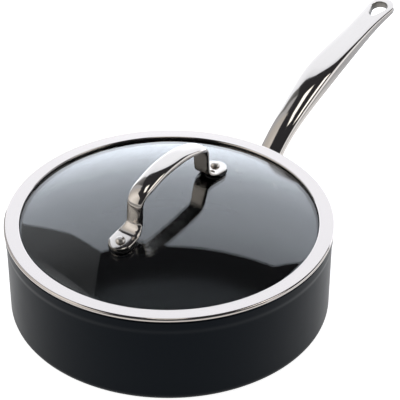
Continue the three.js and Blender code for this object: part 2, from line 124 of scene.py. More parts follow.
# Outline with round corners: each corner (x, y, radius) becomes the circular arc that touches both of its
# sides, as a quadratic curve whose middle weighs the cosine of half the turn. A holding point past each
# end of the arc keeps the flat beside it flat.
def roundCorners(corners, closed=True, steps=7, hold=0.12):
    corners = np.array(corners, float)
    points = corners[:, :2]
    before = np.roll(points, 1, axis=0) - points
    after = np.roll(points, -1, axis=0) - points
    before /= np.linalg.norm(before, axis=1, keepdims=True)
    after /= np.linalg.norm(after, axis=1, keepdims=True)
    halfTurn = np.arccos(np.clip(-(before * after).sum(axis=1), -1, 1)) / 2
    setback = (corners[:, 2] * np.tan(halfTurn))[:, None]
    share = np.linspace(0, 1, steps + 1)
    first = (1 - share) ** 2 + 0 * halfTurn[:, None]
    middle = 2 * share * (1 - share) * np.cos(halfTurn)[:, None]
    last = share ** 2 + 0 * halfTurn[:, None]
    weights = np.stack([first, middle, last], axis=-1)
    pulls = np.stack([points + before * setback, points, points + after * setback], axis=1)
    arcs = weights @ pulls / weights.sum(axis=-1, keepdims=True)
    lead = pulls[:, :1] + (before * hold)[:, None]
    trail = pulls[:, 2:] + (after * hold)[:, None]
    rows = np.concatenate([lead, arcs, trail], axis=1)
    if not closed:  # the two ends lie on the axis
        rows[0] = points[0]
        rows[-1] = points[-1]
    return rows.reshape(-1, 2)


# Turned surface: profile (radius, height) carried round the Z axis
def spin(profile, closed=True, count=240):
    angle = np.linspace(0, 2 * np.pi, count, endpoint=False)[:, None]
    radius, height = profile[:, 0], profile[:, 1]
    points = np.stack([np.cos(angle) * radius, np.sin(angle) * radius, 0 * angle + height], axis=-1)
    return points.reshape(-1, 3), gridFaces(count, len(profile), True, closed)


# Sections along a path in the XZ plane: at each station a superellipse, half width along Y, with its own
# height and squareness above and below the path
def sections(path, heading, halfWidth, above, below, squareAbove, squareBelow, sides=72):
    angle = np.linspace(0, 2 * np.pi, sides, endpoint=False)
    upper = np.sin(angle) >= 0
    power = 2 / np.where(upper, squareAbove[:, None], squareBelow[:, None])
    across = halfWidth[:, None] * signedPower(np.cos(angle), power)
    lift = np.where(upper, above[:, None], below[:, None]) * signedPower(np.sin(angle), power)
    along = path[:, :1] - heading[:, 1:] * lift
    height = path[:, 1:] + heading[:, :1] * lift
    return np.stack([along, across, height], axis=-1)


# Skin over a row of rings, each end drawn in to its middle
def skin(rings):
    ends = [np.broadcast_to(ring.mean(axis=0), ring.shape)[None] for ring in (rings[0], rings[-1])]
    rings = np.concatenate([ends[0], rings, ends[1]])
    return rings.reshape(-1, 3), gridFaces(rings.shape[0], rings.shape[1], False, True)


# Smooth curve through points: between two of them a cubic whose slopes are half the step from the point
# before to the point after
def smoothThrough(points, share):
    points = np.array(points, float)
    last = len(points) - 1
    place = np.clip(share, 0, 1) * last
    low = np.minimum(place.astype(int), last - 1)
    part = (place - low)[:, None]
    start, end = points[low], points[low + 1]
    slopeIn = (end - points[np.maximum(low - 1, 0)]) / 2
    slopeOut = (points[np.minimum(low + 2, last)] - start) / 2
    cubic = 2 * (start - end) + slopeIn + slopeOut
    square = 3 * (end - start) - 2 * slopeIn - slopeOut
    return ((cubic * part + square) * part + slopeIn) * part + start


# Cubic bend between two points that leaves and arrives along the given headings
def bend(start, startHeading, end, endHeading, share, pull=0.4):
    reach = pull * np.linalg.norm(end - start)
    share = share[:, None]
    return ((1 - share) ** 3 * start + 3 * share * (1 - share) ** 2 * (start + reach * startHeading)
            + 3 * share ** 2 * (1 - share) * (end - reach * endHeading) + share ** 3 * end)


def headings(path):  # unit slopes of a path
    slope = np.gradient(path, axis=0)
    return slope / np.linalg.norm(slope, axis=1, keepdims=True)


def makeMesh(name, points, faces, sharpDegrees):  # points in mm to a clean smooth mesh
    mesh = bpy.data.meshes.new(name)
    mesh.from_pydata((points * mm).tolist(), [], faces.tolist())
    work = bmesh.new()
    work.from_mesh(mesh)
    bmesh.ops.remove_doubles(work, verts=work.verts, dist=weld)
    bmesh.ops.recalc_face_normals(work, faces=work.faces)
    work.to_mesh(mesh)
    work.free()
    smoothMesh(mesh, sharpDegrees)
    return mesh


def smoothMesh(mesh, sharpDegrees):  # smooth faces, split only at edges sharper than the angle
    mesh.polygons.foreach_set("use_smooth", np.ones(len(mesh.polygons), bool))
    mesh.set_sharp_from_angle(angle=np.radians(sharpDegrees))


def putPiece(name, surface, materials, body, slot, *nodes, sharpDegrees=50):  # one finished piece
    piece = bpy.data.objects.new(name, makeMesh(name, *surface, sharpDegrees))
    bpy.context.scene.collection.objects.link(piece)
    for material in materials:
        piece.data.materials.append(material)
    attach(piece, body)
    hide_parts(*nodes)
    return piece


# Materials

# Hard-anodised aluminium: a grown oxide skin over bead-blasted metal, near black, with a dull fine grain
# that spreads highlights and lightens towards grazing edges
def hardAnodised():
    grit = 0.9  # mm; blast grit is about 0.1, drawn coarser so that it shows
    patch = 35.0  # mm across the duller and glossier patches that the bath leaves
    material, tree, shader, place = startMaterial("hard_anodised_aluminium", {
        "Specular IOR Level": 0.12, "Specular Tint": tone("#c9def5")})
    grain = noise(tree, place, grit, detail=3.0)
    cloud = noise(tree, place, patch)
    shade = addNode(tree, "ShaderNodeMix", {"A": tone("#090d13"), "B": tone("#0f1318")},
                    {"Factor": grain.outputs["Fac"]}, data_type="RGBA")
    rough = addNode(tree, "ShaderNodeMapRange", {"To Min": 0.3, "To Max": 0.4},
                    {"Value": cloud.outputs["Fac"]})
    bump = addNode(tree, "ShaderNodeBump", {"Strength": 0.12, "Distance": 0.05 * mm},
                   {"Height": grain.outputs["Fac"]})
    tree.links.new(shade.outputs["Result"], shader.inputs["Base Color"])
    tree.links.new(rough.outputs["Result"], shader.inputs["Roughness"])
    tree.links.new(bump.outputs["Normal"], shader.inputs["Normal"])
    return material


# Ceramic nonstick lining: sprayed and baked, black with a dim gloss and faint mineral specks
def nonstickLining():
    speck = 1.2  # mm; real specks are about 0.3, drawn coarser so that they show
    droplet = 2.4  # mm across the ripples that the spray leaves
    material, tree, shader, place = startMaterial("ceramic_nonstick", {
        "Roughness": 0.16, "Specular IOR Level": 0.1})
    specks = noise(tree, place, speck)
    step = addNode(tree, "ShaderNodeMapRange", {"From Min": 0.66, "From Max": 0.74},
                   {"Value": specks.outputs["Fac"]})
    shade = addNode(tree, "ShaderNodeMix", {"A": tone("#08090a"), "B": tone("#101112")},
                    {"Factor": step.outputs["Result"]}, data_type="RGBA")
    spray = noise(tree, place, droplet)
    bump = addNode(tree, "ShaderNodeBump", {"Strength": 0.015, "Distance": 0.1 * mm},
                   {"Height": spray.outputs["Fac"]})
    tree.links.new(shade.outputs["Result"], shader.inputs["Base Color"])
    tree.links.new(bump.outputs["Normal"], shader.inputs["Normal"])
    return material


# Stainless steel, polished on a wheel: warm mirror, with hair lines along the wheel's travel and a slow
# waviness that bends reflections a little
def polishedSteel(name, colour, roughness, travel):
    hairWidth = 0.7  # mm; hair lines are about 0.05, drawn wider so that they show
    swell = 16.0  # mm across the slow waves
    material, tree, shader, place = startMaterial(name, {"Metallic": 1.0})
    along = addNode(tree, "ShaderNodeMapping", {"Scale": travel}, {"Vector": place})
    hair = noise(tree, along.outputs["Vector"], hairWidth)
    wave = noise(tree, place, swell, detail=0.0)
    rough = addNode(tree, "ShaderNodeMapRange", {"To Min": roughness * 0.7, "To Max": roughness * 1.4},
                    {"Value": hair.outputs["Fac"]})
    shade = addNode(tree, "ShaderNodeMapRange", {"To Min": 0.97, "To Max": 1.03},
                    {"Value": hair.outputs["Fac"]})
    tint = addNode(tree, "ShaderNodeHueSaturation", {"Color": tone(colour)},
                   {"Value": shade.outputs["Result"]})
    bump = addNode(tree, "ShaderNodeBump", {"Strength": 0.05, "Distance": 0.2 * mm},
                   {"Height": wave.outputs["Fac"]})
    tree.links.new(tint.outputs["Color"], shader.inputs["Base Color"])
    tree.links.new(rough.outputs["Result"], shader.inputs["Roughness"])
    tree.links.new(bump.outputs["Normal"], shader.inputs["Normal"])
    return material


# Magnetic stainless steel, faced on a lathe: rings of fine grooves that fan out the highlights
def turnedSteel():
    feed = 1.1  # mm for a radian of the wave, so 6.9 from ring to ring; a tool's 0.2 is too fine to show
    waveTurn = 20  # radians that the wave node turns through in one unit
    material, tree, shader, place = startMaterial("turned_magnetic_steel", {
        "Metallic": 1.0, "Base Color": tone("#b5b4b0")})
    rings = addNode(tree, "ShaderNodeTexWave", {"Scale": perMetre(feed) / waveTurn, "Distortion": 0.2},
                    {"Vector": place}, wave_type="RINGS", rings_direction="Z")
    bump = addNode(tree, "ShaderNodeBump", {"Strength": 0.25, "Distance": 0.1 * mm},
                   {"Height": rings.outputs["Fac"]})
    rough = addNode(tree, "ShaderNodeMapRange", {"To Min": 0.26, "To Max": 0.4},
                    {"Value": rings.outputs["Fac"]})
    tree.links.new(rough.outputs["Result"], shader.inputs["Roughness"])
    tree.links.new(bump.outputs["Normal"], shader.inputs["Normal"])
    return material


# Tempered soda-lime glass: clear, pressed and quenched, so its reflections waver very slightly
def temperedGlass():
    ripple = 60.0  # mm across the waves that the quench leaves
    material, tree, shader, place = startMaterial("tempered_glass", {
        "Base Color": tone("#f4f8f8"), "Roughness": 0.0, "IOR": 1.6, "Transmission Weight": 1.0})
    quench = noise(tree, place, ripple, detail=0.0)
    bump = addNode(tree, "ShaderNodeBump", {"Strength": 0.04, "Distance": 0.4 * mm},
                   {"Height": quench.outputs["Fac"]})
    tree.links.new(bump.outputs["Normal"], shader.inputs["Normal"])
    return material


# Black silicone rubber, moulded: dull, with a skin of fine pits
def blackSilicone():
    pit = 0.5  # mm; moulded pits are about 0.05, drawn coarser
    material, tree, shader, place = startMaterial("black_silicone", {
        "Roughness": 0.55, "Specular IOR Level": 0.3})
    pits = noise(tree, place, pit)
    shade = addNode(tree, "ShaderNodeMix", {"A": tone("#161617"), "B": tone("#222223")},
                    {"Factor": pits.outputs["Fac"]}, data_type="RGBA")
    bump = addNode(tree, "ShaderNodeBump", {"Strength": 0.1, "Distance": 0.05 * mm},
                   {"Height": pits.outputs["Fac"]})
    tree.links.new(shade.outputs["Result"], shader.inputs["Base Color"])
    tree.links.new(bump.outputs["Normal"], shader.inputs["Normal"])
    return material


anodised = hardAnodised()
lining = nonstickLining()
handleSteel = polishedSteel("polished_cast_steel", "#c8c2bc", 0.07, (0.12, 1.0, 1.0))
ringSteel = polishedSteel("polished_ring_steel", "#c9c2bd", 0.08, (1.0, 1.0, 0.3))
# Inside the eye: cut steel, rougher than the polished faces for its milled finish, with a darker colour as
# painted shade for the shadowed walls of the hole
shadedEyeSteel = polishedSteel("satin_cut_steel_painted_shade", "#85817c", 0.4, (1.0, 1.0, 1.0))
rivetSteel = polishedSteel("satin_rivet_steel", "#cbc6c0", 0.28, (1.0, 1.0, 1.0))
panRivetSteel = polishedSteel("plain_rivet_steel", "#b4b0ab", 0.14, (1.0, 1.0, 1.0))
baseSteel = turnedSteel()
glass = temperedGlass()
silicone = blackSilicone()
print("materials made")


# Pan body: one drawn profile turned about Z, a raised band under the rim, round foot, recess for the plate

bodyLow, bodyHigh = nodeBox("pan_body")
pan = {
    "wall": 3.1, "band": 6.9, "bandStep": 0.7, "stepHeight": 3.6, "draft": 0.6, "floor": 4.0,
    "footRound": 6.0, "hollowRound": 9.0, "rimRound": 1.2, "stepRound": 12.0,
    "recess": 90.2, "recessTop": 1.7, "recessEdge": 0.3,
    # faces are lined from this share of the wall inwards, and from this far under the floor's top upwards
    "coatReach": 0.7, "coatDip": 0.2,
}
rimRadius, panTop, panFoot = bodyHigh[0], bodyHigh[2], bodyLow[2]
wallTop = rimRadius - pan["bandStep"]
wallFoot = wallTop - pan["draft"]
stepBottom = panTop - pan["band"] - pan["stepHeight"]
floorTop = panFoot + pan["floor"]


def wallAt(height):  # outer wall radius at a height below the band
    return between(wallFoot, wallTop, (height - panFoot) / (stepBottom - panFoot))


def panBody():
    wall, recess, edge = pan["wall"], pan["recess"], pan["recessEdge"]
    stepTop = stepBottom + pan["stepHeight"]
    return spin(roundCorners([
        (0, pan["recessTop"], 0),
        (recess, pan["recessTop"], edge),
        (recess, panFoot, edge),
        (wallFoot, panFoot, pan["footRound"]),
        (wallTop, stepBottom, pan["stepRound"]),
        (rimRadius, stepTop, pan["stepRound"]),
        (rimRadius, panTop, pan["rimRound"]),
        (rimRadius - wall, panTop, pan["rimRound"]),
        (rimRadius - wall, stepTop, pan["stepRound"]),
        (wallTop - wall, stepBottom, pan["stepRound"]),
        (wallFoot - wall, floorTop, pan["hollowRound"]),
        (0, floorTop, 0),
    ], closed=False), closed=False)


def faceValues(piece, name):  # a row of three numbers for each face
    values = np.empty(3 * len(piece.data.polygons), np.float32)
    piece.data.polygons.foreach_get(name, values)
    return values.reshape(-1, 3)


bodyPiece = putPiece("anodised_body", panBody(), [anodised, lining], "pan", "hard_anodised", "pan_body")
centres = faceValues(bodyPiece, "center") / mm
inside = np.hypot(centres[:, 0], centres[:, 1]) < wallFoot - pan["coatReach"] * pan["wall"]
coated = inside & (centres[:, 2] > floorTop - pan["coatDip"])
bodyPiece.data.polygons.foreach_set("material_index", coated.astype(np.int32))

# Base plate: a disc with an edge round and three shallow turned grooves
plate = {
    "edge": 0.4, "grooves": (24.0, 48.0, 72.0), "grooveWidth": 1.6, "grooveDepth": 0.35,
    "grooveLip": 0.3, "grooveRoot": 0.2,
}


def basePlate():
    low, high = nodeBox("induction_base_plate")
    foot, top, outer, edge = low[2], high[2], high[0], plate["edge"]
    half, lip, root = plate["grooveWidth"] / 2, plate["grooveLip"], plate["grooveRoot"]
    bottom = foot + plate["grooveDepth"]
    corners = [(0, foot, 0)]
    for radius in plate["grooves"]:
        corners += [(radius - half, foot, lip), (radius - half / 2, bottom, root),
                    (radius + half / 2, bottom, root), (radius + half, foot, lip)]
    corners += [(outer, foot, edge), (outer, top, edge / 2), (0, top, 0)]
    return spin(roundCorners(corners, closed=False, steps=4, hold=0.05), closed=False, count=180)


putPiece("base_plate", basePlate(), [baseSteel], "pan", "base_steel", "induction_base_plate")
print("pan body and base plate done")


# Long handle: flange on the wall, a fillet into the neck, then sections along the course to a flat eye end

handle = {
    "flangeHeight": 42.0, "flangeWidth": 52.2, "flangeDepth": 28.0, "flangeThickness": 4.0, "gap": 0.3,
    "flangeSquare": 4.0, "flangeEdge": 0.8, "backEdge": 0.5, "filletReach": 13.0, "filletStart": 0.8,
    # out from the wall and up from the flange's middle, then half width and half thickness there
    "course": [(-4, -2.7), (17.5, 20.3), (44.9, 38.8), (87.3, 56.3), (150.4, 68.1), (183.6, 74)],
    "breadth": [(11.4, 7.9), (10.2, 5.4), (11.1, 6.3), (12.8, 7.5), (10.2, 4.8), (11.4, 3.2)],
    "endRound": 11.4, "endEdge": 2.3, "squareNeck": 2.3, "squareEnd": 6.0, "squareBelow": 4.5,
    "flattenFrom": 0.45, "flattenTo": 0.9,
    "eyeInset": 13.2, "eyeRadius": 6.4, "eyeNarrow": 3.2, "eyeLength": 10.6, "eyeFlare": 0.6,
    "eyeMargin": 1.0, "flareDepth": (-3, -0.1, 0.15, 0.5, 0.9), "flareShare": (1.6, 1.0, 0.5, 0.15, 0),
}


# Flange ring: a superellipse of the flange's outline, laid on the round wall at a distance from it
def flangeRing(inset, off, sides=72):
    angle = np.linspace(0, 2 * np.pi, sides, endpoint=False)
    halfWidth, halfDepth = handle["flangeWidth"] / 2 - inset, handle["flangeDepth"] / 2 - inset
    power = 2 / handle["flangeSquare"]
    across = halfWidth * signedPower(np.cos(angle), power)
    height = handle["flangeHeight"] + halfDepth * signedPower(np.sin(angle), power)
    radius = wallAt(height) + handle["gap"] + off
    return np.stack([np.sqrt(radius ** 2 - across ** 2), across, height], axis=-1)


# The handle's skin from the flange's back to the eye end, with the end's place and heading. The fillet is a
# quadratic curve from the flange's face to the neck, pulled to the corner between them.
def longHandle():
    share = np.linspace(0, 1, 140)
    path = smoothThrough(handle["course"], share) + [wallTop, handle["flangeHeight"]]
    size = smoothThrough(handle["breadth"], share)
    heading = headings(path)
    flattenRun = handle["flattenTo"] - handle["flattenFrom"]
    flattened = np.clip((share - handle["flattenFrom"]) / flattenRun, 0, 1)
    square = between(handle["squareNeck"], handle["squareEnd"], ease(flattened))
    rounding = path[-1] + heading[-1] * handle["endRound"] * np.sin(roundEnd)[:, None]
    path = np.concatenate([path, rounding])
    halfWidth = np.concatenate([size[:, 0], size[-1, 0] * np.cos(roundEnd)])
    half = np.concatenate([size[:, 1], between(handle["endEdge"], size[-1, 1], np.cos(roundEnd))])
    heading = np.concatenate([heading, np.repeat(heading[-1:], len(roundEnd), axis=0)])
    square = np.concatenate([square, np.repeat(square[-1:], len(roundEnd))])
    squareBelow = np.full_like(square, handle["squareBelow"])
    rings = sections(path, heading, halfWidth, half, half, square, squareBelow)
    neck = np.argmax(path[:, 0] > wallTop + handle["filletReach"])  # first ring clear of the fillet
    thickness, edge, back = handle["flangeThickness"], handle["flangeEdge"], handle["backEdge"]
    face = thickness + handle["gap"]
    runs = rings[neck + 1] - rings[neck]
    toFace = (wallTop + face - rings[neck, :, :1]) / runs[:, :1]
    onFace = rings[neck] + runs * toFace  # the neck's print on the flange
    flange = [flangeRing(back, 0), flangeRing(0, back)]
    flange += [flangeRing(edge * (1 - np.cos(turn)), thickness - edge * (1 - np.sin(turn)))
               for turn in np.radians(np.linspace(0, 90, 5))]
    flat = flange[-1] + (onFace - flange[-1]) * handle["filletStart"]
    flange += [between(flange[-1], flat, part) for part in (0.1, 0.5, 1.0)]
    fillet = [(1 - part) ** 2 * flat + 2 * part * (1 - part) * onFace + part ** 2 * rings[neck]
              for part in np.linspace(0, 1, 9)[1:-1]]
    return skin(np.concatenate([np.stack(flange + fillet), rings[neck:]])), path[-1], heading[-1]


# Eye cutter: a teardrop outline, one wide and one narrow round end, carried up through the end plate and
# flared at both faces
def eyeCutter(tip, heading):
    wide, narrow, length = handle["eyeRadius"], handle["eyeNarrow"], handle["eyeLength"]
    lean = np.arcsin((wide - narrow) / length)
    front = np.linspace(-np.pi / 2 - lean, np.pi / 2 + lean, 48)
    back = np.linspace(np.pi / 2 + lean, 3 * np.pi / 2 - lean, 24)
    outline = np.concatenate([np.stack([wide * np.cos(front), wide * np.sin(front)], axis=-1),
                              np.stack([narrow * np.cos(back) - length, narrow * np.sin(back)], axis=-1)])
    normal = np.concatenate([np.stack([np.cos(front), np.sin(front)], axis=-1),
                             np.stack([np.cos(back), np.sin(back)], axis=-1)])
    lifts = np.array(handle["flareDepth"]) - handle["breadth"][-1][1]
    flares = handle["eyeFlare"] * np.array(handle["flareShare"])
    lifts = np.concatenate([lifts, -lifts[::-1]])
    flares = np.concatenate([flares, flares[::-1]])
    middle = tip - heading * handle["eyeInset"]
    flat = outline + normal * flares[:, None, None]
    along = middle + flat[..., :1] * heading + lifts[:, None, None] * np.array([-heading[1], heading[0]])
    return skin(np.stack([along[..., 0], flat[..., 1], along[..., 1]], axis=-1))


def cutWith(piece, cutter):  # takes the cutter's shape out of a piece's mesh
    tool = bpy.data.objects.new("cutter", makeMesh("cutter", *cutter, sharpDegrees=30))
    bpy.context.scene.collection.objects.link(tool)
    piece.modifiers.new("cut", "BOOLEAN").object = tool
    shown = piece.evaluated_get(bpy.context.evaluated_depsgraph_get())
    mesh = bpy.data.meshes.new_from_object(shown)
    piece.modifiers.clear()
    piece.data = mesh
    bpy.data.objects.remove(tool)
    smoothMesh(mesh, sharpDegrees=32)


def eyeWall(piece, tip, heading):  # the milled faces inside the eye, upright to the end plate; they take the cut steel, rougher than the polish for its milled finish and darker as painted shade
    steepest = 0.6  # share of a milled face's normal that may point along the plate's
    centre = faceValues(piece, "center") / mm
    along = (centre[:, [0, 2]] - (tip - heading * handle["eyeInset"])) @ heading
    across = np.abs(centre[:, 1])
    lean = np.abs(faceValues(piece, "normal")[:, [0, 2]] @ [-heading[1], heading[0]])
    wide = handle["eyeRadius"] + handle["eyeMargin"]
    near = (across < wide) & (along < wide) & (along > -wide - handle["eyeLength"])
    inside = near & (lean < steepest)
    piece.data.polygons.foreach_set("material_index", inside.astype(np.int32))


handleSurface, handleTip, handleHeading = longHandle()
handlePiece = putPiece("long_handle", handleSurface, [handleSteel, shadedEyeSteel], "pan", "handle_steel",
                       "pan_handle")
cutWith(handlePiece, eyeCutter(handleTip, handleHeading))
eyeWall(handlePiece, handleTip, handleHeading)
print("long handle done")


# Rivets: domed head, shank and domed tail turned about their own axis, then set in place

panRivet = {
    "offset": 17.5, "shank": 3.0, "head": 6.0, "headHeight": 2.0, "tail": 4.6, "tailHeight": 1.6,
    "edge": 0.4, "flatness": 2, "seatDip": 0.5, "gap": 0.3,
}


# Rivet turned about its axis: at each end a dome that falls by a power of the share of its radius, down to
# an upright edge
def rivet(low, high, shank, lowHead, lowRise, highHead, highRise, edge, flatness):
    share = np.linspace(0, 1, 9)[:, None]
    dome = np.concatenate([share, 1 - share ** flatness], axis=1)
    lowDome = dome * [lowHead, edge - lowRise] + [0, low - edge]
    highDome = dome[::-1] * [highHead, highRise - edge] + [0, high + edge]
    stem = np.array([(lowHead, low), (shank, low), (shank, high), (highHead, high)])
    profile = np.concatenate([lowDome, stem, highDome])
    return spin(profile, closed=False, count=48)


def placed(surface, matrix):  # a surface moved by a 4 x 4 matrix in mm
    points, faces = surface
    matrix = np.array(matrix)
    return points @ matrix[:3, :3].T + matrix[:3, 3], faces


def panRivets():
    angle = np.arcsin(panRivet["offset"] / wallTop)
    outer = wallAt(handle["flangeHeight"])
    inner = outer - pan["wall"]
    seat = np.sqrt(inner ** 2 - panRivet["head"] ** 2) - panRivet["seatDip"]
    tailSeat = outer + handle["gap"] + handle["flangeThickness"] + panRivet["gap"]
    for name, side in (("left", 1), ("right", -1)):
        body = rivet(seat, tailSeat, panRivet["shank"], panRivet["head"], panRivet["headHeight"],
                     panRivet["tail"], panRivet["tailHeight"], panRivet["edge"], panRivet["flatness"])
        outwards = (Matrix.Translation((0, 0, handle["flangeHeight"]))
                    @ Matrix.Rotation(side * angle, 4, "Z") @ Matrix.Rotation(np.pi / 2, 4, "Y"))
        putPiece("handle_rivet_" + name, placed(body, outwards), [panRivetSteel], "pan", "rivet_steel",
                 "pan_handle_rivet_" + name)


panRivets()


# Lid: ring, seal and domed glass, all turned about Z

ringLow, ringHigh = nodeBox("lid_rim")
ring = {
    "sheet": 0.8, "flange": 6.4, "roll": 1.5, "curl": 1.1, "bead": 3.2, "beadFlat": 0.1, "hem": 3.6,
    "skirtClear": 0.6, "edge": 0.25,
}
ringTop, ringFoot, ringOuter = ringHigh[2], ringLow[2], ringHigh[0]
skirtOuter = rimRadius - pan["wall"] - ring["skirtClear"]
skirtInner = skirtOuter - ring["sheet"]
ringInner = skirtInner - ring["flange"]


def lidRing():
    sheet, edge = ring["sheet"], ring["edge"]
    beadRound = ring["bead"] / 2 - ring["beadFlat"]
    return spin(roundCorners([
        (ringInner, ringTop - ring["roll"], edge),
        (ringInner + sheet, ringTop - ring["roll"], edge),
        (ringInner + sheet, ringTop - sheet, edge),
        (skirtInner, ringTop - sheet, edge),
        (skirtInner, ringFoot + sheet, edge),
        (skirtInner - ring["hem"], ringFoot + sheet, edge),
        (skirtInner - ring["hem"], ringFoot, edge),
        (skirtOuter, ringFoot, edge),
        (skirtOuter, ringTop - ring["bead"], edge),
        (ringOuter, ringTop - ring["bead"], beadRound),
        (ringOuter, ringTop, beadRound),
        (ringInner, ringTop, ring["curl"]),
    ], steps=12, hold=0.06), count=320)


seal = {"wall": 1.4, "lip": 0.3, "fit": 0.15, "edge": 0.12}
dome = {"thickness": 4.0, "drop": 2.2, "rise": 16.7, "border": 4.6, "edge": 0.8}
edgeTop = ringTop - dome["drop"]
glassRadius = skirtInner - 2 * seal["fit"] - seal["wall"]
domeRadius = glassRadius - dome["border"]
sphereRadius = (domeRadius ** 2 + dome["rise"] ** 2) / (2 * dome["rise"])
sphereCentre = edgeTop + dome["rise"] - sphereRadius


def lidSeal():
    outer = skirtInner - seal["fit"]
    inner, lip = outer - seal["wall"], ringInner - seal["lip"]
    top, bottom = ringTop - ring["sheet"] - seal["fit"], ringFoot + ring["sheet"] + seal["fit"]
    edgeBottom = edgeTop - dome["thickness"] - seal["fit"]
    hem = skirtInner - ring["hem"]
    step, stepTop = ringInner + ring["sheet"] + seal["fit"], ringTop - ring["roll"] - seal["fit"]
    glassTop = edgeTop + seal["fit"]
    outline = [(outer, bottom), (outer, top), (step, top), (step, stepTop), (lip, stepTop), (lip, glassTop),
               (inner, glassTop), (inner, edgeBottom), (hem, edgeBottom), (hem, bottom)]
    corners = [(*corner, seal["edge"]) for corner in outline]
    return spin(roundCorners(corners, steps=4, hold=0.03), count=320)


# Dome: an outer and an inner spherical cap with one centre, joined by the ground edge
def lidGlass():
    inner = sphereRadius - dome["thickness"]
    edgeBottom = edgeTop - dome["thickness"]
    under = np.linspace(0, np.arccos((edgeBottom - sphereCentre) / inner), 48)
    over = np.linspace(np.arcsin(domeRadius / sphereRadius), 0, 48)
    steps = 6
    corner = steps + 3  # points that each corner becomes
    rim = roundCorners([
        (domeRadius, edgeBottom, 0),
        (glassRadius, edgeBottom, dome["edge"]),
        (glassRadius, edgeTop, dome["edge"]),
        (domeRadius, edgeTop, 0),
    ], steps=steps, hold=0.1)[corner:3 * corner]
    profile = np.concatenate([
        np.stack([inner * np.sin(under), sphereCentre + inner * np.cos(under)], axis=-1), rim,
        np.stack([sphereRadius * np.sin(over), sphereCentre + sphereRadius * np.cos(over)], axis=-1)])
    return spin(profile, closed=False, count=240)


putPiece("lid_ring", lidRing(), [ringSteel], "lid", "ring_steel", "lid_rim", sharpDegrees=60)
putPiece("ring_seal", lidSeal(), [silicone], "lid", "silicone", "lid_rim_seal")
putPiece("glass_dome", lidGlass(), [glass], "lid", "glass", "lid_glass", sharpDegrees=60)
print("ring, seal and glass done")


# Lid handle: a strap bent from foot to foot, flat feet, crowned bar

strap = {
    "rivetSpacing": 118.6, "stand": 1.6,
    "footReach": 8.8, "footWidth": 18.4, "footThickness": 2.6, "footRun": 7.2,
    "legSpacing": 86.0, "legWidth": 13.4, "legThickness": 4.3, "legLean": 0.9, "bendHeight": 8.4,
    "shoulderDrop": 14.6, "shoulderReach": 15.2, "crownHeight": 49.3, "crownArch": 3.2, "archLean": 0.26,
    "crownWidth": 15.6, "crownThickness": 5.4,
    # shares of the thickness outside and inside the split, then squareness of the outer and the inner face
    "footFaces": (0.5, 0.5, 5.0, 5.0), "legFaces": (0.62, 0.38, 2.4, 5.0),
    "shoulderFaces": (0.66, 0.34, 2.3, 5.0), "crownFaces": (0.66, 0.34, 3.4, 5.0),
}
rivetX = strap["rivetSpacing"] / 2
lidTilt = np.arcsin(rivetX / sphereRadius)
rivetFoot = sphereCentre + np.sqrt(sphereRadius ** 2 - rivetX ** 2)  # dome's height at the rivets


def lidRivetPlace(side):  # local Z leaves the dome squarely, local X runs to the foot's tip
    return (Matrix.Translation((side * rivetX, 0, rivetFoot)) @ Matrix.Rotation(side * lidTilt, 4, "Y")
            @ Matrix.Rotation(0 if side > 0 else np.pi, 4, "Z"))


# Half the strap's path, foot to crown, as points with a row of sizes each: half width, the four numbers of
# its faces and thickness, eased from one span's end to the next
def halfStrap():
    slope = np.array([np.cos(lidTilt), -np.sin(lidTilt)])
    lift = np.array([np.sin(lidTilt), np.cos(lidTilt)]) * (strap["stand"] + strap["footThickness"] / 2)
    foot = np.array([rivetX, rivetFoot]) + lift
    footRound = strap["footWidth"] / 2
    footTip = foot + slope * (strap["footReach"] - footRound)
    footEnd = foot - slope * strap["footRun"]
    legFoot = np.array([strap["legSpacing"] / 2, footEnd[1] + strap["bendHeight"]])
    crown = np.array([0, ringTop + strap["crownHeight"]])
    legTop = np.array([legFoot[0] - strap["legLean"], crown[1] - strap["shoulderDrop"]])
    shoulder = np.array([legTop[0] - strap["shoulderReach"], crown[1] - strap["crownArch"]])
    upwards = (legTop - legFoot) / np.linalg.norm(legTop - legFoot)
    arching = np.array([-np.cos(strap["archLean"]), np.sin(strap["archLean"])])
    flatFoot = np.array([footRound, *strap["footFaces"], strap["footThickness"]])
    flatLeg = np.array([strap["legWidth"] / 2, *strap["legFaces"], strap["legThickness"]])
    bar = np.array([strap["crownWidth"] / 2, *strap["shoulderFaces"], strap["crownThickness"]])
    flatBar = np.array([strap["crownWidth"] / 2, *strap["crownFaces"], strap["crownThickness"]])
    steps = [np.linspace(0, 1, count) for count in (6, 26, 10, 34, 24)]
    paths = [between(footTip, footEnd, steps[0][:, None]),
             bend(footEnd, -slope, legFoot, upwards, steps[1]),
             between(legFoot, legTop, steps[2][:, None]),
             bend(legTop, upwards, shoulder, arching, steps[3]),
             bend(shoulder, arching, crown, np.array([-1.0, 0.0]), steps[4])]
    shapes = [(flatFoot, flatFoot), (flatFoot, flatLeg), (flatLeg, flatLeg), (flatLeg, bar), (bar, flatBar)]
    sizes = [between(start, end, ease(step)[:, None]) for (start, end), step in zip(shapes, steps)]
    path = np.concatenate([paths[0]] + [span[1:] for span in paths[1:]])  # spans share their end points
    size = np.concatenate([sizes[0]] + [span[1:] for span in sizes[1:]])
    return path, size


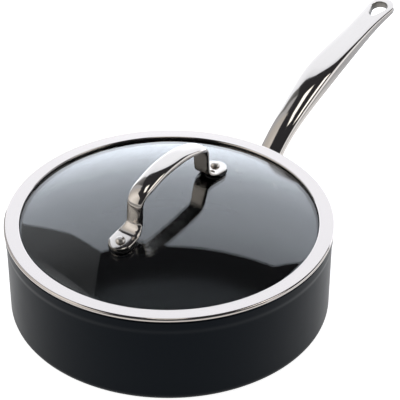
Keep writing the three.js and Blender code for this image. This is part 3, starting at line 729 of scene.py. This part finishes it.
def lidStrap():  # the half path and its mirror image, with a round end on each foot
    path, size = halfStrap()
    path = np.concatenate([path, path[-2::-1] * [-1, 1]])
    size = np.concatenate([size, size[-2::-1]])
    heading = headings(path)
    tip = roundEnd[::-1]
    footRound = strap["footWidth"] / 2
    ends = []
    for end, way in ((0, -1), (-1, 1)):
        reach = path[end] + way * heading[end] * footRound * np.sin(tip)[:, None]
        narrowed = np.repeat(size[end][None], len(tip), axis=0)
        narrowed[:, 0] *= np.cos(tip)
        ends.append((reach, np.repeat(heading[end][None], len(tip), axis=0), narrowed))
    first, last = ends
    path = np.concatenate([first[0], path, last[0][::-1]])
    heading = np.concatenate([first[1], heading, last[1][::-1]])
    size = np.concatenate([first[2], size, last[2][::-1]])
    halfWidth, outer, inner, squareOuter, squareInner, thickness = size.T
    low = thickness * (0.5 - outer)  # the split between the faces lies off the path
    normal = np.stack([heading[:, 1], -heading[:, 0]], axis=-1)
    middle = path + low[:, None] * normal
    return skin(sections(middle, -heading, halfWidth, outer * thickness, inner * thickness,
                         squareOuter, squareInner, sides=64))


putPiece("lid_strap", lidStrap(), [handleSteel], "lid", "handle_steel", "lid_handle", sharpDegrees=60)

# Under each foot: a gasket, a rivet, a sleeve in the glass and a washer
stack = {
    "gasket": 1.0, "margin": 0.5, "gap": 0.3, "shank": 3.0, "head": 3.6, "headHeight": 2.5, "tail": 5.0,
    "tailHeight": 1.5, "edge": 0.4, "sleeve": 1.3, "flange": 8.0, "flangeThickness": 1.0, "washer": 7.2,
    "washerThickness": 1.0, "flatness": 5, "sleeveEdge": 0.2, "washerEdge": 0.15,
    "gasketInset": (0.25, 0.06, 0, 0, 0.06, 0.25), "gasketLevels": (0, 0.06, 0.2, 0.8, 0.94, 1),
}


# Gasket: the foot's outline, a half round and two straight sides, carried up through its thickness
def footGasket():
    half = strap["footWidth"] / 2 + stack["margin"]
    middle = strap["footReach"] + stack["margin"] - half
    angle = np.linspace(-np.pi / 2, np.pi / 2, 40)
    side = np.linspace(0, 1, 12)[:, None]
    nose = np.stack([middle + half * np.cos(angle), half * np.sin(angle)], axis=-1)
    back = np.array([-strap["footRun"], half])
    otherBack = back * [1, -1]
    outline = np.concatenate([nose, between(nose[-1], back, side)[1:], between(back, otherBack, side)[1:],
                              between(otherBack, nose[0], side)[1:-1]])
    inset = np.array(stack["gasketInset"])[:, None, None]
    lifts = stack["gap"] + stack["gasket"] * np.array(stack["gasketLevels"])
    centre = np.array([middle / 2, 0])
    flat = centre + (outline - centre) * (1 - inset / half)
    height = np.broadcast_to(lifts[:, None, None], (*flat.shape[:2], 1))
    return skin(np.concatenate([flat, height], axis=-1))


def turnedRing(outline, edge):  # small turned ring with softened corners
    return spin(roundCorners([(*corner, edge) for corner in outline], steps=4, hold=0.05), count=64)


def lidStacks():
    gap, bore = stack["gap"], stack["shank"] + stack["gap"]
    flangeTop = -dome["thickness"] - gap
    flangeFoot = flangeTop - stack["flangeThickness"]
    washerTop = flangeFoot - gap
    washerFoot = washerTop - stack["washerThickness"]
    headSeat = strap["stand"] + strap["footThickness"] + gap
    for name, side in (("front", -1), ("rear", 1)):
        place = lidRivetPlace(side)
        sleeve = [(bore, flangeFoot), (stack["flange"], flangeFoot), (stack["flange"], flangeTop),
                  (bore + stack["sleeve"], flangeTop), (bore + stack["sleeve"], 0), (bore, 0)]
        disc = [(bore, washerFoot), (stack["washer"], washerFoot), (stack["washer"], washerTop),
                (bore, washerTop)]
        bush = turnedRing(sleeve, stack["sleeveEdge"])
        washer = turnedRing(disc, stack["washerEdge"])
        fixing = rivet(washerFoot - gap, headSeat, stack["shank"], stack["tail"], stack["tailHeight"],
                       stack["head"], stack["headHeight"], stack["edge"], stack["flatness"])
        putPiece("foot_gasket_" + name, placed(footGasket(), place), [silicone], "lid", "silicone",
                 "lid_foot_gasket_" + name)
        putPiece("strap_rivet_" + name, placed(fixing, place), [rivetSteel], "lid", "rivet_steel",
                 "lid_handle_rivet_" + name)
        putPiece("hole_sleeve_" + name, placed(bush, place), [silicone], "lid", "silicone",
                 "lid_hole_bush_" + name)
        putPiece("strap_washer_" + name, placed(washer, place), [rivetSteel], "lid", "rivet_steel",
                 "lid_washer_" + name)


lidStacks()
print("lid handle and its fixings done")


# Studio: measured from the pan's middle to the right, to the back and up, in metres, as the camera sees it

view = {  # angles in degrees; distance, lens and sensor in mm; farthest in metres
    "elevation": 34.96, "distance": 1413.1, "yaw": -0.93, "pitch": 0.52, "roll": 0.56, "turn": 54.0,
    "lens": 171.0, "sensor": 36.0, "farthest": 20.0,
}
studioTurn = Matrix.Rotation(-np.radians(view["turn"]), 3, "Z")


def placeCamera():  # looks at the ring's middle, then turns by yaw, pitch and roll about its own axes
    lift = np.radians(view["elevation"])
    eye = Vector((0, -np.cos(lift), np.sin(lift))) * view["distance"]
    ahead = Vector((0, np.cos(lift), -np.sin(lift)))
    right = Vector((1, 0, 0))
    up = right.cross(ahead)
    for axis, degrees in (("up", view["yaw"]), ("right", view["pitch"]), ("ahead", view["roll"])):
        about = {"up": up, "right": right, "ahead": ahead}[axis]
        turn = Matrix.Rotation(np.radians(degrees), 3, about)
        right, up, ahead = turn @ right, turn @ up, turn @ ahead
    camera = bpy.data.objects.new("camera", bpy.data.cameras.new("camera"))
    bpy.context.scene.collection.objects.link(camera)
    facing = studioTurn @ Matrix((right, up, -ahead)).transposed()
    spot = studioTurn @ eye + Vector((0, 0, ringTop))
    camera.matrix_world = Matrix.Translation(spot * mm) @ facing.to_4x4()
    camera.data.lens = view["lens"]
    camera.data.sensor_width = view["sensor"]
    camera.data.clip_end = view["farthest"]
    bpy.context.scene.camera = camera


def stagePanel(name, corners, material, faces=None):  # flat panels, corners in the studio's axes
    mesh = bpy.data.meshes.new(name)
    turned = [studioTurn @ Vector(corner) for corner in corners]
    mesh.from_pydata(turned, [], faces or [range(len(corners))])
    mesh.materials.append(material)
    panel = bpy.data.objects.new(name, mesh)
    bpy.context.scene.collection.objects.link(panel)
    return panel


# Glow of the given values, which turns to plain white where the camera looks straight through glass at it
def glowCloth(tree, values, links=None):
    path = addNode(tree, "ShaderNodeLightPath")
    unmirrored = addNode(tree, "ShaderNodeMath", {1: 0.5}, {0: path.outputs["Glossy Depth"]},
                         operation="LESS_THAN")
    through = addNode(tree, "ShaderNodeMath", operation="MULTIPLY",
                      links={0: path.outputs["Is Transmission Ray"], 1: unmirrored.outputs[0]})
    white = addNode(tree, "ShaderNodeEmission", {"Color": tone("#ffffff"), "Strength": 1.0})
    glow = addNode(tree, "ShaderNodeEmission", values, links)
    either = addNode(tree, "ShaderNodeMixShader",
                     links={0: through.outputs[0], 1: glow.outputs[0], 2: white.outputs[0]})
    addNode(tree, "ShaderNodeOutputMaterial", links={"Surface": either.outputs[0]})


def evenCloth(name, colour, strength):  # cloth that glows alike all over
    material, tree = emptyMaterial(name)
    glowCloth(tree, {"Color": tone(colour), "Strength": strength})
    return material


# Graded cloth: its strength runs straight between stops of (place, strength) along one studio axis
def gradedCloth(name, colour, along, stops):
    material, tree = emptyMaterial(name)
    places, strengths = np.array(stops).T
    shares = (places - places[0]) / (places[-1] - places[0])
    place = addNode(tree, "ShaderNodeTexCoord").outputs["Object"]
    turned = addNode(tree, "ShaderNodeVectorRotate", {"Angle": np.radians(view["turn"])}, {"Vector": place},
                     rotation_type="Z_AXIS")
    axes = addNode(tree, "ShaderNodeSeparateXYZ", links={"Vector": turned.outputs["Vector"]})
    share = addNode(tree, "ShaderNodeMapRange", {"From Min": places[0], "From Max": places[-1]},
                    {"Value": axes.outputs[along]})
    ramp = addNode(tree, "ShaderNodeValToRGB", links={"Fac": share.outputs["Result"]})
    marks = ramp.color_ramp.elements
    for middle in shares[1:-1]:
        marks.new(middle)
    for mark, strength in zip(marks, strengths / strengths.max()):
        mark.color = (strength, strength, strength, 1)
    power = addNode(tree, "ShaderNodeMath", {1: strengths.max()}, {0: ramp.outputs["Color"]},
                    operation="MULTIPLY")
    glowCloth(tree, {"Color": tone(colour)}, {"Strength": power.outputs[0]})
    return material


# Each light: its corners, its colour, and one strength or stops of it along one studio axis
lights = {
    "back": {"corners": [(-0.43, 0.5, 0.0), (1.1, 0.5, 0.0), (0.62, 0.5, 0.5), (0.46, 0.5, 0.68),
                         (0.4, 0.5, 0.82), (0.1, 0.5, 0.775), (-0.24, 0.5, 0.75), (-0.28, 0.5, 0.54),
                         (-0.345, 0.5, 0.37)],
             "colour": "#eff5ff", "along": "Z",
             "stops": [(0.0, 3.4), (0.12, 2.9), (0.25, 1.95), (0.36, 1.7), (0.55, 1.65), (0.85, 1.2)]},
    "wing": {"corners": [(-1.0, 0.56, 0.0), (-0.47, 0.56, 0.0), (-0.47, 0.56, 1.49), (-1.0, 0.56, 2.2)],
             "colour": "#f6f8fc", "along": "X", "stops": [(-1.0, 0.74), (-0.52, 0.68), (-0.47, 0.4)]},
    "dim_wing": {"corners": [(-0.47, 0.56, 0.0), (0.0, 0.56, 0.0), (-0.47, 0.56, 1.49)],
                 "colour": "#f6f8fc", "along": "Z",
                 "stops": [(0.3, 0.5), (0.6, 0.42), (0.85, 0.26), (1.05, 0.18)]},
    "left": {"corners": [(-1.0, -1.1, 0.0), (-1.0, 0.56, 0.0), (-0.85, 0.56, 2.3), (-0.912, -0.1, 1.35),
                         (-0.912, -1.1, 1.35)],
             "colour": "#fdf9f4", "along": "Y",
             "stops": [(-1.1, 0.6), (-0.6, 1.0), (-0.3, 1.3), (-0.05, 1.1), (0.1, 0.92), (0.25, 0.78),
                       (0.56, 0.74)]},
    "right": {"corners": [(0.95, 0.5, 0.0), (1.45, -0.85, 0.0), (1.45, -0.85, 0.5), (0.95, 0.5, 0.5)],
              "colour": "#f2f4f8", "along": "Z", "stops": [(0.0, 1.8), (0.5, 1.4)]},
    "top_strip": {"corners": [(-0.17, -0.3, 1.6), (0.12, -0.3, 1.6), (0.12, 0.3, 1.6), (-0.17, 0.3, 1.6)],
                  "colour": "#fffdf8", "strength": 2.2},
    "right_strip": {"corners": [(1.0, -0.85, 1.6), (1.85, -0.85, 1.6), (1.85, 0.05, 1.6), (1.0, 0.05, 1.6)],
                    "colour": "#fffdf8", "strength": 2.4},
}
tent = {"half": 2.0, "height": 2.4, "glow": 0.045}


def squareOf(half):  # corners of a square round the pan's middle
    return [(-half, -half), (half, -half), (half, half), (-half, half)]


def lightStudio():
    for name, light in lights.items():
        if "stops" in light:
            cloth = gradedCloth(name + "_cloth", light["colour"], light["along"], light["stops"])
        else:
            cloth = evenCloth(name + "_cloth", light["colour"], light["strength"])
        stagePanel(name + "_light", light["corners"], cloth).visible_camera = False


# Dark cloth over the whole studio, which gives metal and glass their dark reflections
def darkTent():
    cloth = evenCloth("dark_cloth", "#f4f4ff", tent["glow"])
    corners = [(*corner, level) for level in (0, tent["height"]) for corner in squareOf(tent["half"])]
    faces = [(4, 5, 6, 7)] + [(side, (side + 1) % 4, (side + 1) % 4 + 4, side + 4) for side in range(4)]
    stagePanel("dark_tent", corners, cloth, faces).visible_camera = False


paper = {"half": 0.8, "seen": 0.94, "throughGlass": 0.55, "inMetal": 0.7, "fadeFrom": 0.25, "fadeTo": 0.4}


# White paper floor: white to the eye and through glass, while a matt share keeps the pan's shadow. In metal
# its white fades with the distance from the pan, as paper does outside the lamps' pool of light
def paperFloor():
    material, tree = emptyMaterial("white_paper")
    path = addNode(tree, "ShaderNodeLightPath")
    place = addNode(tree, "ShaderNodeTexCoord")
    reach = addNode(tree, "ShaderNodeVectorMath", links={0: place.outputs["Object"]}, operation="LENGTH")
    fade = addNode(tree, "ShaderNodeMapRange", {"From Min": paper["fadeFrom"], "From Max": paper["fadeTo"],
                                                "To Min": paper["inMetal"], "To Max": 0.0},
                   {"Value": reach.outputs["Value"]})
    mirrored = addNode(tree, "ShaderNodeMath", operation="MULTIPLY",
                       links={0: path.outputs["Is Glossy Ray"], 1: fade.outputs["Result"]})
    through = addNode(tree, "ShaderNodeMath", {1: paper["throughGlass"]}, operation="MULTIPLY_ADD",
                      links={0: path.outputs["Is Transmission Ray"], 2: mirrored.outputs[0]})
    white = addNode(tree, "ShaderNodeMath", {1: paper["seen"]}, operation="MULTIPLY_ADD",
                    links={0: path.outputs["Is Camera Ray"], 2: through.outputs[0]})
    glow = addNode(tree, "ShaderNodeEmission", {"Color": tone("#ffffff")}, {"Strength": white.outputs[0]})
    matt = addNode(tree, "ShaderNodeBsdfDiffuse", {"Color": tone("#d8d8d8")})
    both = addNode(tree, "ShaderNodeAddShader", links={0: glow.outputs[0], 1: matt.outputs[0]})
    addNode(tree, "ShaderNodeOutputMaterial", links={"Surface": both.outputs[0]})
    stagePanel("floor", [(*corner, 0) for corner in squareOf(paper["half"])], material)


room = {"fill": 0.05, "seen": 1.0}


def whiteSurround():  # white to the camera and in metal and glass, dim room light for the rest
    world = bpy.data.worlds.new("room")
    world.use_nodes = True
    tree = world.node_tree
    tree.nodes.clear()
    path = addNode(tree, "ShaderNodeLightPath")
    mirrored = addNode(tree, "ShaderNodeMath", operation="MAXIMUM",
                       links={0: path.outputs["Is Glossy Ray"], 1: path.outputs["Is Transmission Ray"]})
    seen = addNode(tree, "ShaderNodeMath", operation="MAXIMUM",
                   links={0: path.outputs["Is Camera Ray"], 1: mirrored.outputs[0]})
    strength = addNode(tree, "ShaderNodeMapRange", {"To Min": room["fill"], "To Max": room["seen"]},
                       {"Value": seen.outputs[0]})
    sky = addNode(tree, "ShaderNodeBackground", {"Color": tone("#ffffff")},
                  {"Strength": strength.outputs["Result"]})
    addNode(tree, "ShaderNodeOutputWorld", links={"Surface": sky.outputs[0]})
    bpy.context.scene.world = world


placeCamera()
lightStudio()
darkTent()
paperFloor()
whiteSurround()
bpy.context.scene.view_settings.view_transform = "Standard"
print("studio done")
